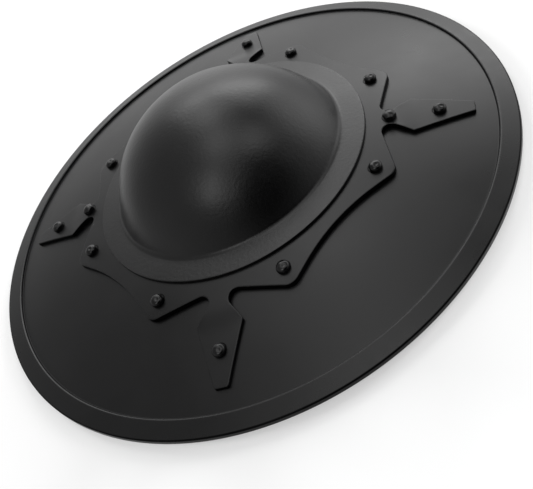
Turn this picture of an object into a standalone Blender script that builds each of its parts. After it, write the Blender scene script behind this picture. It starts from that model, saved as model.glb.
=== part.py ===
"""A round buckler, lying boss up on its rim.

A dished disc with a raised rim carries a star shaped plate with four arms and eight lobes,
and a domed boss with a flange over it. Twelve rivets hold the plate, and two bolts at the
roots of the side arms go through to the grip, which crosses the hollow behind the boss.
Metres, +Z up, origin on the ground below the centre, +X along the grip.
"""
import math

import bmesh
import bpy
from mathutils import Matrix, Vector

# Driving dimensions: disc and rim

SHIELD_RADIUS = 0.180
DISH_RADIUS = 0.650
DISC_THICKNESS = 0.0016
RIM_WIDTH = 0.012
RIM_STEP = 0.0018
RIM_WALL_HEIGHT = 0.0032
RIM_SEAT_WIDTH = 0.006
RIM_ROUND = 0.0008
OPENING_RADIUS = 0.076

# Driving dimensions: star plate. Half widths are measured from the middle of an arm.

PLATE_THICKNESS = 0.003
ARM_REACH = 0.156
ARM_TIP_HALF = 0.0042
ARM_TIP_ROUND = 0.0015
SHOULDER_RADIUS = 0.1197
SHOULDER_HALF = 0.0142
NECK_HALF = 0.0061
NECK_ROUND = 0.0054
LOBE_REACH = 0.1165
LOBE_ROUND = 0.008
WAIST_RADIUS = 0.0986
WAIST_ROUND = 0.144

# Driving dimensions: boss

BOSS_HEIGHT = 0.0795
BOSS_DOME_RADIUS = 0.0827
BOSS_THICKNESS = 0.0016
BOSS_FILLET = 0.004
FLANGE_RADIUS = 0.092

# Driving dimensions: rivets and bolts

ARM_RIVET_RADIUS = 0.1354
LOBE_RIVET_RADIUS = 0.1034
RIVET_HEAD_RADIUS = 0.004
RIVET_HEAD_HEIGHT = 0.0036
RIVET_HEAD_SIDE = 0.0012
RIVET_CROWN_ANGLE = math.radians(55)
RIVET_SHANK_RADIUS = 0.002
RIVET_TAIL_RADIUS = 0.0034
RIVET_TAIL_HEIGHT = 0.0012
BOLT_RADIUS = 0.106
BOLT_HEAD_WIDTH = 0.0072
BOLT_HEAD_HEIGHT = 0.0037
BOLT_FACE_RADIUS = 0.0032
BOLT_CHAMFER_ANGLE = math.radians(30)
BOLT_SHANK_RADIUS = 0.0025
BOLT_LENGTH = 0.012

# Driving dimensions: grip. The bar is wider than round across the hand, and flatter.

GRIP_AXIS_HEIGHT = 0.0115
GRIP_MIDDLE_RADIUS = 0.0115
GRIP_NECK_RADIUS = 0.0062
GRIP_NECK_AT = 0.080
GRIP_WIDEN = 1.30
GRIP_FLATTEN = 0.85
PAD_RADIUS = 0.0095
PAD_BOTTOM = 0.0055

# Clearances: between faces that touch, and round a shank in its hole

FIT_GAP = 0.0003
HOLE_CLEARANCE = 0.0003

# How finely round shapes are divided

ROUND_STEPS = 56
SMALL_STEPS = 10
PAD_STEPS = 20
DISH_STEPS = 3
PLATE_STEPS = 5
DOME_STEPS = 8
FILLET_STEPS = 3
CORNER_STEPS = 4
EDGE_STEPS = 2
GRIP_STEPS = 4
SHARP_ANGLE = math.radians(30)
MERGE = 0.00001

# What follows from them

DISH_CENTRE = RIM_WALL_HEIGHT - math.sqrt((DISH_RADIUS + RIM_STEP) ** 2 - SHIELD_RADIUS ** 2)
RIM_INNER_RADIUS = SHIELD_RADIUS - RIM_WIDTH
DISC_BACK = -DISC_THICKNESS
PLATE_BOTTOM = FIT_GAP
PLATE_TOP = PLATE_BOTTOM + PLATE_THICKNESS
FLANGE_BOTTOM = PLATE_TOP + FIT_GAP
FLANGE_TOP = FLANGE_BOTTOM + BOSS_THICKNESS
HEAD_SEAT = PLATE_TOP + FIT_GAP
DOME_CENTRE = BOSS_HEIGHT - BOSS_DOME_RADIUS
QUARTER = math.pi / 2


# Plane geometry

def polar(radius, angle):
    return Vector((radius * math.cos(angle), radius * math.sin(angle)))


def arc(centre, radius, start, end, steps):
    """Points on an arc from one angle to another, both ends included."""
    return [Vector(centre) + polar(radius, start + (end - start) * i / steps) for i in range(steps + 1)]


def rounded_corner(before, corner, after, radius, steps=CORNER_STEPS):
    """The arc that rounds a corner between two straight stretches."""
    to_before = (before - corner).normalized()
    to_after = (after - corner).normalized()
    half = to_before.angle(to_after) / 2
    centre = corner + (to_before + to_after).normalized() * (radius / math.sin(half))
    first = corner + to_before * (radius / math.tan(half)) - centre
    last = corner + to_after * (radius / math.tan(half)) - centre
    turn = first.angle_signed(last)
    start = math.atan2(first.y, first.x)
    return arc(centre, radius, start, start - turn, steps)


# The dished surface. An offset counts outward from the disc's front.

def dish_height(radius, offset):
    return DISH_CENTRE + math.sqrt((DISH_RADIUS + offset) ** 2 - radius ** 2)


def dish_profile(start, end, offset, steps=DISH_STEPS):
    """Points of a radial section of the dish from one radius to another."""
    radii = [start + (end - start) * i / steps for i in range(steps + 1)]
    return [Vector((radius, dish_height(radius, offset))) for radius in radii]


def seat_on_dish(radius, angle):
    """Places local +Z square to the dish, with the origin on the disc's front."""
    spot = polar(radius, angle).to_3d()
    spot.z = dish_height(radius, 0.0)
    normal = (spot - Vector((0, 0, DISH_CENTRE))).normalized()
    return Matrix.Translation(spot) @ normal.to_track_quat("Z", "Y").to_matrix().to_4x4()


# Scene helpers

def clear_scene():
    for old in list(bpy.data.objects):
        bpy.data.objects.remove(old, do_unlink=True)


def new_collection(name):
    collection = bpy.data.collections.new(name)
    bpy.context.scene.collection.children.link(collection)
    return collection


def new_object(name, mesh, collection):
    obj = bpy.data.objects.new(name, mesh)
    collection.objects.link(obj)
    return obj


def as_cutter(obj):
    obj.hide_render = True
    obj.display_type = "WIRE"
    return obj


def new_material(name, colour, roughness, metallic):
    material = bpy.data.materials.new(name)
    material.use_nodes = True
    shader = material.node_tree.nodes["Principled BSDF"]
    shader.inputs["Base Color"].default_value = (*colour, 1.0)
    shader.inputs["Roughness"].default_value = roughness
    shader.inputs["Metallic"].default_value = metallic
    return material


def turned(name, profile, closed, collection, steps=ROUND_STEPS):
    """A profile in the XZ plane, run down its outer side, turned about Z."""
    mesh = bpy.data.meshes.new(name)
    points = [(point.x, 0.0, point.y) for point in profile]
    edges = [(i, i + 1) for i in range(len(points) - 1)]
    if closed:
        edges.append((len(points) - 1, 0))
    mesh.from_pydata(points, edges, [])
    obj = new_object(name, mesh, collection)
    screw = obj.modifiers.new("turn", "SCREW")
    screw.axis = "Z"
    screw.steps = steps
    screw.render_steps = steps
    screw.use_merge_vertices = True
    screw.merge_threshold = MERGE
    screw.use_smooth_shade = True
    return obj


def solid_mesh(name, build):
    """A mesh made by a function that fills an empty bmesh."""
    mesh = bpy.data.meshes.new(name)
    shape = bmesh.new()
    build(shape)
    shape.to_mesh(mesh)
    shape.free()
    return mesh


def mesh_from_curve(name, curved, collection):
    """Replaces a curve's object by a mesh object in its place, the caps welded on."""
    bpy.context.view_layer.update()
    result = curved.evaluated_get(bpy.context.evaluated_depsgraph_get())
    mesh = bpy.data.meshes.new_from_object(result)
    shape = bmesh.new()
    shape.from_mesh(mesh)
    bmesh.ops.remove_doubles(shape, verts=shape.verts, dist=MERGE)
    bmesh.ops.recalc_face_normals(shape, faces=shape.faces)
    shape.to_mesh(mesh)
    shape.free()
    solid = new_object(name, mesh, collection)
    solid.matrix_world = curved.matrix_world
    bpy.data.objects.remove(curved, do_unlink=True)
    return solid


def add_rod(shape, radius, bottom, top, place, steps):
    """Adds an upright closed cylinder between two heights, then places it."""
    middle = Matrix.Translation((0, 0, (top + bottom) / 2))
    bmesh.ops.create_cone(
        shape, cap_ends=True, segments=steps, radius1=radius, radius2=radius,
        depth=top - bottom, matrix=place @ middle)


def combine(obj, other, operation):
    boolean = obj.modifiers.new(operation.lower(), "BOOLEAN")
    boolean.operation = operation
    boolean.solver = "EXACT"
    boolean.object = other


def bake(obj, material):
    """Fixes the modifiers' result as the object's own mesh and shades it."""
    bpy.context.view_layer.update()
    result = obj.evaluated_get(bpy.context.evaluated_depsgraph_get())
    mesh = bpy.data.meshes.new_from_object(result)
    mesh.name = obj.name
    obj.modifiers.clear()
    obj.data = mesh
    mesh.shade_smooth()
    mesh.set_sharp_from_angle(angle=SHARP_ANGLE)
    mesh.materials.clear()
    mesh.materials.append(material)


# Where the fasteners go

def arm_seats():
    names = ("right", "top", "left", "bottom")
    return {name: seat_on_dish(ARM_RIVET_RADIUS, QUARTER * i) for i, name in enumerate(names)}


def lobe_seats():
    return [seat_on_dish(LOBE_RIVET_RADIUS, QUARTER / 2 * (i + 0.5)) for i in range(8)]


def bolt_seats():
    return {"right": seat_on_dish(BOLT_RADIUS, 0.0), "left": seat_on_dish(BOLT_RADIUS, math.pi)}


def fastener_holes(collection):
    """Rods that cut the holes for every rivet and bolt, with their clearance."""
    rivet_hole = RIVET_SHANK_RADIUS + HOLE_CLEARANCE
    bolt_hole = BOLT_SHANK_RADIUS + HOLE_CLEARANCE
    above = HEAD_SEAT + BOLT_HEAD_HEIGHT
    below = DISC_BACK - RIVET_TAIL_HEIGHT
    bolt_end = HEAD_SEAT - BOLT_LENGTH - HOLE_CLEARANCE

    def build(shape):
        for seat in list(arm_seats().values()) + lobe_seats():
            add_rod(shape, rivet_hole, below, above, seat, SMALL_STEPS)
        for seat in bolt_seats().values():
            add_rod(shape, bolt_hole, bolt_end, above, seat, SMALL_STEPS)

    return as_cutter(new_object("fastener_holes", solid_mesh("fastener_holes", build), collection))


# Shield disc

def disc_profile():
    """Section of the disc: front, rim band, outer wall, seat on the ground, back."""
    front_edge = Vector((RIM_INNER_RADIUS, dish_height(RIM_INNER_RADIUS, 0.0)))
    band_inner = Vector((RIM_INNER_RADIUS, dish_height(RIM_INNER_RADIUS, RIM_STEP)))
    band_outer = Vector((SHIELD_RADIUS, RIM_WALL_HEIGHT))
    ground_outer = Vector((SHIELD_RADIUS, 0.0))
    ground_inner = Vector((SHIELD_RADIUS - RIM_SEAT_WIDTH, 0.0))
    profile = dish_profile(OPENING_RADIUS, RIM_INNER_RADIUS, 0.0)
    profile += rounded_corner(front_edge, band_inner, band_outer, RIM_ROUND, EDGE_STEPS)
    profile += rounded_corner(band_inner, band_outer, ground_outer, RIM_ROUND, EDGE_STEPS)
    profile += [ground_outer, ground_inner]
    profile += dish_profile(RIM_INNER_RADIUS, OPENING_RADIUS, DISC_BACK)
    return profile


def make_disc(parts, holes):
    disc = turned("shield_disc", disc_profile(), True, parts)
    combine(disc, holes, "DIFFERENCE")
    bake(disc, new_material("satin_black_disc", (0.020, 0.020, 0.021), 0.42, 0.0))


# Star plate

def flank_line():
    """A flank's two ends: the foot on the middle of an arm or waist, and the lobe's point."""
    return Vector((WAIST_RADIUS, 0.0)), polar(LOBE_REACH, QUARTER / 4)


def neck_arc():
    """The hollow beside an arm's neck, from the shoulder's side to the flank.

    It is a fillet, so it takes up at most half of the room between the shoulder and the flank.
    """
    foot, lobe = flank_line()
    along = (lobe - foot).normalized()
    outward = Vector((along.y, -along.x))
    shoulder = Vector((SHOULDER_RADIUS, SHOULDER_HALF))
    radius = min(NECK_ROUND, (shoulder - foot).dot(outward) / 2)
    centre = Vector((0.0, NECK_HALF + radius))
    centre.x = foot.x + (radius - centre.y * outward.y) / outward.x
    to_shoulder = shoulder - centre
    start = math.atan2(to_shoulder.y, to_shoulder.x) - math.acos(radius / to_shoulder.length)
    end = math.atan2(-outward.y, -outward.x) - 2 * math.pi
    return arc(centre, radius, start, end, 2 * CORNER_STEPS)


def half_arm_outline():
    """The plate's outline from the middle of an arm to the middle of the next waist."""
    foot, lobe = flank_line()
    waist = polar(WAIST_RADIUS, QUARTER / 2)
    next_lobe = polar(LOBE_REACH, QUARTER * 3 / 4)
    tip_middle = Vector((ARM_REACH, 0.0))
    tip = Vector((ARM_REACH, ARM_TIP_HALF))
    shoulder = Vector((SHOULDER_RADIUS, SHOULDER_HALF))
    points = rounded_corner(tip_middle, tip, shoulder, ARM_TIP_ROUND, EDGE_STEPS)
    points.append(shoulder)
    points += neck_arc()
    points += rounded_corner(foot, lobe, waist, LOBE_ROUND)
    waist_arc = rounded_corner(lobe, waist, next_lobe, WAIST_ROUND, 2 * CORNER_STEPS)
    points += waist_arc[:CORNER_STEPS + 1]
    return points


def star_outline():
    """The whole outline: eight half arms, every other one mirrored."""
    half = half_arm_outline()
    mirrored = [Vector((point.y, point.x)) for point in reversed(half[:-1])]
    outline = []
    for i in range(4):
        turn = Matrix.Rotation(QUARTER * i, 2)
        outline += [turn @ point for point in half + mirrored]
    return outline


def star_blank(collection):
    """A tall upright prism of the plate's outline."""
    curve = bpy.data.curves.new("star_outline", "CURVE")
    curve.dimensions = "2D"
    curve.fill_mode = "BOTH"
    curve.extrude = BOSS_HEIGHT
    outline = star_outline()
    spline = curve.splines.new("POLY")
    spline.points.add(len(outline) - 1)
    for point, spot in zip(spline.points, outline):
        point.co = (spot.x, spot.y, 0.0, 1.0)
    spline.use_cyclic_u = True
    flat = new_object("star_outline", curve, collection)
    return as_cutter(mesh_from_curve("star_blank", flat, collection))


def make_plate(parts, cutters, holes):
    """A dished ring as thick as the plate, a little larger than the star, cut to its outline."""
    reach = ARM_REACH + PLATE_THICKNESS
    profile = dish_profile(OPENING_RADIUS, reach, PLATE_TOP, PLATE_STEPS)
    profile += dish_profile(reach, OPENING_RADIUS, PLATE_BOTTOM, PLATE_STEPS)
    plate = turned("star_plate", profile, True, parts)
    combine(plate, star_blank(cutters), "INTERSECT")
    combine(plate, holes, "DIFFERENCE")
    bake(plate, new_material("satin_black_plate", (0.020, 0.020, 0.021), 0.40, 0.0))


# Boss

def fillet_centre():
    """The point as far outside the dome as above the flange: there the fillet has its middle."""
    from_dish = DISH_RADIUS + FLANGE_TOP + BOSS_FILLET
    from_dome = BOSS_DOME_RADIUS + BOSS_FILLET
    across = 2 * (DISH_CENTRE - DOME_CENTRE)
    height = (from_dome ** 2 - from_dish ** 2 + DISH_CENTRE ** 2 - DOME_CENTRE ** 2) / across
    return Vector((math.sqrt(from_dome ** 2 - (height - DOME_CENTRE) ** 2), height))


def boss_skin(inset, dome_steps):
    """One side of the boss, from the top of the dome down to the flange's edge."""
    middle = fillet_centre()
    dome_centre = Vector((0.0, DOME_CENTRE))
    to_dome = dome_centre - middle
    to_dish = Vector((0.0, DISH_CENTRE)) - middle
    dome_end = math.atan2(-to_dome.y, -to_dome.x)
    fillet_start = dome_end - math.pi
    fillet_end = math.atan2(to_dish.y, to_dish.x)
    skin = arc(dome_centre, BOSS_DOME_RADIUS - inset, QUARTER, dome_end, dome_steps)
    skin[0].x = 0.0
    skin += arc(middle, BOSS_FILLET + inset, fillet_start, fillet_end, FILLET_STEPS)[1:]
    skin += dish_profile(skin[-1].x, FLANGE_RADIUS, FLANGE_TOP - inset, 1)[1:]
    return skin


def make_boss(parts):
    outside = boss_skin(0.0, DOME_STEPS)
    inside = boss_skin(BOSS_THICKNESS, DOME_STEPS - 2)
    boss = turned("boss", outside + inside[::-1], False, parts)
    bake(boss, new_material("satin_black_boss", (0.018, 0.018, 0.019), 0.38, 0.0))


# Rivets

def rivet_mesh(material):
    """A rivet with a domed head on the plate and a flat tail behind the disc."""
    tail_seat = DISC_BACK - FIT_GAP
    tail_end = tail_seat - RIVET_TAIL_HEIGHT
    head_top = HEAD_SEAT + RIVET_HEAD_HEIGHT
    head_side = HEAD_SEAT + RIVET_HEAD_SIDE
    crown = head_side + (head_top - head_side) * math.sin(RIVET_CROWN_ANGLE)
    crown_radius = RIVET_HEAD_RADIUS * math.cos(RIVET_CROWN_ANGLE)
    profile = [
        Vector((0.0, head_top)), Vector((crown_radius, crown)), Vector((RIVET_HEAD_RADIUS, head_side)),
        Vector((RIVET_HEAD_RADIUS, HEAD_SEAT)), Vector((RIVET_SHANK_RADIUS, HEAD_SEAT)),
        Vector((RIVET_SHANK_RADIUS, tail_seat)), Vector((RIVET_TAIL_RADIUS, tail_seat)),
        Vector((RIVET_TAIL_RADIUS, tail_end)), Vector((0.0, tail_end))]
    model = turned("rivet", profile, False, bpy.context.scene.collection, SMALL_STEPS)
    bake(model, material)
    mesh = model.data
    bpy.data.objects.remove(model, do_unlink=True)
    return mesh


def make_rivets(parts):
    mesh = rivet_mesh(new_material("satin_black_rivet", (0.016, 0.016, 0.017), 0.34, 0.0))
    for name, seat in arm_seats().items():
        new_object(f"arm_rivet_{name}", mesh, parts).matrix_world = seat
    for number, seat in enumerate(lobe_seats(), start=1):
        new_object(f"lobe_rivet_{number}", mesh, parts).matrix_world = seat


# Grip bolts

def make_bolts(parts, cutters):
    """Bolts with a six sided head, its corners chamfered round on top."""
    material = new_material("satin_black_bolt", (0.016, 0.016, 0.017), 0.34, 0.0)
    corner_radius = BOLT_HEAD_WIDTH / 2 / math.cos(math.pi / 6)
    head_top = HEAD_SEAT + BOLT_HEAD_HEIGHT
    head_middle = HEAD_SEAT + BOLT_HEAD_HEIGHT / 2
    bolt_end = HEAD_SEAT - BOLT_LENGTH
    upright = Matrix.Identity(4)

    def build_head(shape):
        add_rod(shape, corner_radius, HEAD_SEAT, head_top, upright, 6)

    def build_shank(shape):
        add_rod(shape, BOLT_SHANK_RADIUS, bolt_end, head_middle, upright, SMALL_STEPS)

    def build_chamfer(shape):
        depth = 2 * BOLT_HEAD_HEIGHT
        base_radius = BOLT_FACE_RADIUS + depth / math.tan(BOLT_CHAMFER_ANGLE)
        middle = Matrix.Translation((0, 0, head_top - depth / 2))
        bmesh.ops.create_cone(
            shape, cap_ends=True, segments=PAD_STEPS, radius1=base_radius,
            radius2=BOLT_FACE_RADIUS, depth=depth, matrix=middle)

    shank = as_cutter(new_object("bolt_shank", solid_mesh("bolt_shank", build_shank), cutters))
    crown = as_cutter(new_object("bolt_crown", solid_mesh("bolt_crown", build_chamfer), cutters))
    model = new_object("bolt", solid_mesh("bolt", build_head), parts)
    combine(model, crown, "INTERSECT")
    combine(model, shank, "UNION")
    bake(model, material)
    for name, seat in bolt_seats().items():
        new_object(f"grip_bolt_{name}", model.data, parts).matrix_world = seat
    bpy.data.objects.remove(model, do_unlink=True)


# Grip

def grip_radius(x):
    """The bar's radius, which swells smoothly from the necks to the middle."""
    share = min(abs(x) / GRIP_NECK_AT, 1.0)
    return GRIP_NECK_RADIUS + (GRIP_MIDDLE_RADIUS - GRIP_NECK_RADIUS) * math.cos(QUARTER * share)


def grip_bar(parts):
    """The bar as a tube along X, then widened and flattened."""
    curve = bpy.data.curves.new("grip_line", "CURVE")
    curve.dimensions = "3D"
    curve.bevel_depth = 1.0
    curve.bevel_resolution = 4
    curve.use_fill_caps = True
    swell = [GRIP_NECK_AT * i / GRIP_STEPS for i in range(-GRIP_STEPS, GRIP_STEPS + 1)]
    stations = [-BOLT_RADIUS, *swell, BOLT_RADIUS]
    spline = curve.splines.new("POLY")
    spline.points.add(len(stations) - 1)
    for point, x in zip(spline.points, stations):
        point.co = (x, 0.0, 0.0, 1.0)
        point.radius = grip_radius(x)
    line = new_object("grip_line", curve, parts)
    line.location.z = GRIP_AXIS_HEIGHT
    bar = mesh_from_curve("grip", line, parts)
    bar.data.transform(Matrix.Diagonal((1.0, GRIP_WIDEN, GRIP_FLATTEN, 1.0)))
    return bar


def space_above_back(cutters):
    """All that lies over the disc's back, less the gap that the grip's ends keep to it."""
    inner = OPENING_RADIUS - FIT_GAP
    outer = BOLT_RADIUS + 2 * PAD_RADIUS
    profile = [Vector((inner, BOSS_HEIGHT)), Vector((outer, BOSS_HEIGHT))]
    profile += dish_profile(outer, inner, DISC_BACK - FIT_GAP)
    return as_cutter(turned("space_above_back", profile, True, cutters))


def make_grip(parts, cutters, holes):
    pad_top = dish_height(BOLT_RADIUS - PAD_RADIUS, 0.0)

    def build_pads(shape):
        for x in (-BOLT_RADIUS, BOLT_RADIUS):
            add_rod(shape, PAD_RADIUS, PAD_BOTTOM, pad_top, Matrix.Translation((x, 0, 0)), PAD_STEPS)

    pads = as_cutter(new_object("grip_pads", solid_mesh("grip_pads", build_pads), cutters))
    grip = grip_bar(parts)
    combine(grip, pads, "UNION")
    combine(grip, space_above_back(cutters), "DIFFERENCE")
    combine(grip, holes, "DIFFERENCE")
    bake(grip, new_material("matt_black_grip", (0.020, 0.020, 0.020), 0.55, 0.0))


def main():
    clear_scene()
    parts = new_collection("buckler")
    cutters = new_collection("cutters")
    holes = fastener_holes(cutters)
    make_disc(parts, holes)
    make_plate(parts, cutters, holes)
    make_boss(parts)
    make_rivets(parts)
    make_bolts(parts, cutters)
    make_grip(parts, cutters, holes)


main()
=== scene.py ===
"""Looks of the buckler: fine meshes for its pieces, a satin black coat, a studio and the camera.

Metres, +Z up. The sizes below repeat those of the solids that the pieces stand for.
"""
import math

import bmesh
import bpy
from mathutils import Matrix, Vector, noise
from mathutils.geometry import delaunay_2d_cdt
from mathutils.kdtree import KDTree


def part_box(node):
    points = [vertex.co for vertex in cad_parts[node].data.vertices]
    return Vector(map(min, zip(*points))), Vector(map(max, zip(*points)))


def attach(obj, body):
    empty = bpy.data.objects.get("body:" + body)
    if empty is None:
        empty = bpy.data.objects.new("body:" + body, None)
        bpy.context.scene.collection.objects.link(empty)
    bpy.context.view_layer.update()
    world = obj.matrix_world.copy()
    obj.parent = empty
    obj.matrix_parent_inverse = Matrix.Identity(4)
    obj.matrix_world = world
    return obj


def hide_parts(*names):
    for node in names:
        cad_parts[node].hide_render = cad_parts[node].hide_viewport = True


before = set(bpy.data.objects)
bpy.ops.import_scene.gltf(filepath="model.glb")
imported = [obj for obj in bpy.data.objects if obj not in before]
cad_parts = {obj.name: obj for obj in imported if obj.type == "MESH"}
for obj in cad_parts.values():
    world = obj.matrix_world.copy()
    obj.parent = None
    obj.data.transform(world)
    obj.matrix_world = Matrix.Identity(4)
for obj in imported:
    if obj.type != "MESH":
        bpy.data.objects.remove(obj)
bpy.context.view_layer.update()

# Sizes read from the solids

SHIELD_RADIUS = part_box("shield_disc")[1][0]
ARM_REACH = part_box("star_plate")[1][0]
BOSS_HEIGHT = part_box("boss")[1][2]
FLANGE_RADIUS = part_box("boss")[1][0]

# Disc and rim

DISH_RADIUS = 0.650
DISC_THICKNESS = 0.0016
RIM_WIDTH = 0.012
RIM_STEP = 0.0018
RIM_WALL_HEIGHT = 0.0032
RIM_SEAT_WIDTH = 0.006
RIM_STEP_ROUND = 0.0012
RIM_ROUND = 0.0008
RIM_FOOT_ROUND = 0.0005
# Where the painted shade lines sit on the rim: a share of the outer round, and a share up the step's wall
RIM_BROW_SHARE = 0.3
RIM_WALL_SHARE = 0.35
GROUND_ROUND = 0.0003
OPENING_RADIUS = 0.076

# Star plate

PLATE_THICKNESS = 0.003
PLATE_EDGE_ROUND = 0.0004
ARM_THINNING = 0.0009
ARM_THINNING_START = 0.112
ARM_THINNING_END = 0.124
ARM_TIP_HALF = 0.0042
ARM_TIP_ROUND = 0.0015
SHOULDER_RADIUS = 0.1197
SHOULDER_HALF = 0.0142
SHOULDER_ROUND = 0.0010
NECK_HALF = 0.0061
NECK_ROUND = 0.0054
LOBE_REACH = 0.1165
LOBE_ROUND = 0.008
WAIST_RADIUS = 0.0986
WAIST_ROUND = 0.144

# Boss

BOSS_DOME_RADIUS = 0.0827
BOSS_THICKNESS = 0.0016
BOSS_FILLET = 0.004
FLANGE_EDGE_ROUND = 0.00035
NICK_ANGLE = math.radians(-25)
NICK_LENGTH = 0.0016
NICK_HEIGHT = 0.0003

# Rivets and bolts

ARM_RIVET_RADIUS = 0.1354
LOBE_RIVET_RADIUS = 0.1034
RIVET_HEAD_RADIUS = 0.004
RIVET_HEAD_HEIGHT = 0.0036
RIVET_HEAD_SIDE = 0.0012
RIVET_HEAD_UNDERCUT = 0.0005
RIVET_HEAD_FOOT = 0.0036
RIVET_CROWN_POWER = 0.9
RIVET_BROW_OUT = 0.9
RIVET_BROW_UP = 0.7
RIVET_DENT = 0.0004
RIVET_DENT_RADIUS = 0.0012
DENT_SIDE = Vector((0.9, -0.5, 0.0))
TOOL_MARK_DEPTH = 0.00014
TOOL_MARK_SIZE = 0.0022
TOOL_MARK_SHIFT = 7.3
RIVET_SHANK_RADIUS = 0.002
RIVET_TAIL_RADIUS = 0.0034
RIVET_TAIL_HEIGHT = 0.0012
RIVET_TAIL_ROUND = 0.0005
BOLT_RADIUS = 0.106
BOLT_HEAD_WIDTH = 0.0072
BOLT_HEAD_HEIGHT = 0.0037
BOLT_CROWN_DROP = 0.0012
BOLT_EDGE_RINGS = (0.96, 0.985)
BOLT_BROW_DROP = 0.0001
BOLT_SHANK_RADIUS = 0.0025
BOLT_LENGTH = 0.012
HOLE_CLEARANCE = 0.0003

# Grip

GRIP_AXIS_HEIGHT = 0.0115
GRIP_MIDDLE_RADIUS = 0.0115
GRIP_NECK_RADIUS = 0.0062
GRIP_NECK_AT = 0.080
GRIP_WIDEN = 1.30
GRIP_FLATTEN = 0.85
PAD_RADIUS = 0.0095
PAD_BOTTOM = 0.0055
GRIP_SPANS = 120
GRIP_VOXEL = 0.0006
GRIP_SMOOTHING = 0.5
GRIP_SMOOTHINGS = 5

# Layers. An offset counts outward from the disc's front.

FIT_GAP = 0.0003
DISC_BACK = -DISC_THICKNESS
PLATE_BOTTOM = FIT_GAP
PLATE_TOP = PLATE_BOTTOM + PLATE_THICKNESS
FLANGE_BOTTOM = PLATE_TOP + FIT_GAP
FLANGE_TOP = FLANGE_BOTTOM + BOSS_THICKNESS
HEAD_SEAT = PLATE_TOP + FIT_GAP
DISH_CENTRE = RIM_WALL_HEIGHT - math.sqrt((DISH_RADIUS + RIM_STEP) ** 2 - SHIELD_RADIUS ** 2)
DOME_CENTRE = BOSS_HEIGHT - BOSS_DOME_RADIUS
RIM_INNER_RADIUS = SHIELD_RADIUS - RIM_WIDTH
QUARTER = math.pi / 2

# Unevenness of the pressed sheets and of the hand-finished dome

SHEET_WAVE = 0.00018
SHEET_WAVE_LENGTH = 0.060
DOME_WAVE = 0.00045
DOME_WAVE_LENGTH = 0.055
DOME_WAVE_SHIFT = Vector((3.1, 0.4, 1.7))
DOME_WAVE_START = 0.40
DOME_WAVE_FADE = 0.25
DENT_WAVE = 0.00010
DENT_WAVE_LENGTH = 0.015
DENT_WAVE_SHIFT = Vector((0.7, 5.2, 2.9))

# Coat. A grain is its size and its depth.

SHEET_COLOUR = (0.0012, 0.0012, 0.0013)
BOSS_COLOUR = (0.0010, 0.0010, 0.0011)
GRIP_COLOUR = (0.008, 0.008, 0.008)
SHEET_ROUGHNESS = 0.30
HEAD_ROUGHNESS = 0.14
GRIP_ROUGHNESS = 0.55
BOSS_IOR = 1.60
SHEET_GRAIN = (0.0006, 0.000004)
HEAD_GRAIN = (0.0004, 0.000002)
GRIP_GRAIN = (0.0008, 0.00003)
MOTTLE_SIZE = 0.0022
COAT_MOTTLE = 0.000007
BOSS_MOTTLE = 0.00010
CLOUD_SIZE = 0.045
SCUFF_SIZE = 0.018
SCUFF_STRETCH = (1.0, 9.0, 1.0)
SCUFF_TURN = (0.0, 0.0, 0.6)
SPECKS_PER_METRE = 55.0
SPECK_PATCH_SIZE = 0.03
RUB_SIZE = 0.006
GLOSS = 0.5
# Specular level where shade is painted on walls, rim lines and the heads' feet, to darken them
PAINTED_SHADE_GLOSS = 0.06

# Widths of the rubbed edges, and of the painted shade: lines on walls and rings round the heads' feet, where
# the coat reflects less so that they look dark as in shade

RIM_WEAR = 0.0014
SHEET_WEAR = 0.0008
RIVET_WEAR = 0.0007
BOLT_WEAR = 0.0005
RIM_SHADE_WIDTH = 0.0006
PLATE_WALL_SHADE_WIDTH = 0.00035
HEAD_FOOT_SHADE_WIDTH = 0.0003

# How finely shapes are divided. HEAD_RINGS are radii of mesh rings round each head on the plate,
# and HEAD_FOOT is the number of the one at its foot.

ROUND_STEPS = 360
HOLE_STEPS = 24
RIVET_STEPS = 48
BOLT_STEPS = 96
CORNER_STEPS = 10
EDGE_STEPS = 5
DOME_STEPS = 64
MESH_SPACING = 0.004
OUTLINE_SPACING = 0.0012
HOLD = 0.0004
MITRE_LIMIT = 0.5
HEAD_RINGS = (0.0036, 0.0041, 0.0045, 0.0052)
HEAD_FOOT = 1
SHARP_ANGLE = math.radians(40)
MERGE = 0.000001


# Plane geometry

def polar(radius, angle):
    return Vector((radius * math.cos(angle), radius * math.sin(angle)))


def around(radius, steps):
    """Points evenly spread on a circle about the origin."""
    return [polar(radius, 2 * math.pi * k / steps) for k in range(steps)]


def arc(centre, radius, start, end, steps):
    """Points on an arc from one angle to another, both ends included."""
    return [Vector(centre) + polar(radius, start + (end - start) * i / steps) for i in range(steps + 1)]


def rounded_corner(before, corner, after, radius, steps=CORNER_STEPS, hold=0.0):
    """The arc that rounds a corner between two straight stretches.

    With hold, a point that far before and after the arc keeps the round tight in shading.
    """
    to_before = (before - corner).normalized()
    to_after = (after - corner).normalized()
    half = to_before.angle(to_after) / 2
    centre = corner + (to_before + to_after).normalized() * (radius / math.sin(half))
    reach = radius / math.tan(half)
    first = corner + to_before * reach - centre
    last = corner + to_after * reach - centre
    turn = first.angle_signed(last)
    start = math.atan2(first.y, first.x)
    points = arc(centre, radius, start, start - turn, steps)
    if hold:
        points = [corner + to_before * (reach + hold), *points, corner + to_after * (reach + hold)]
    return points


def edge_round(before, corner, after, radius):
    return rounded_corner(before, corner, after, radius, EDGE_STEPS, HOLD)


# The dished surface

def dish_height(radius, offset):
    return DISH_CENTRE + math.sqrt((DISH_RADIUS + offset) ** 2 - radius ** 2)


def on_dish(spot, offset):
    return Vector((spot.x, spot.y, dish_height(spot.length, offset)))


def plate_top(radius):
    """The plate's top. The arms are forged a little thinner than the middle."""
    share = (radius - ARM_THINNING_START) / (ARM_THINNING_END - ARM_THINNING_START)
    share = min(max(share, 0.0), 1.0)
    return PLATE_TOP - ARM_THINNING * share * share * (3 - 2 * share)


def keeps(offset):
    """The offset of a sheet's side that lies evenly on the dish, as a function of the radius."""
    return lambda radius: offset


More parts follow.
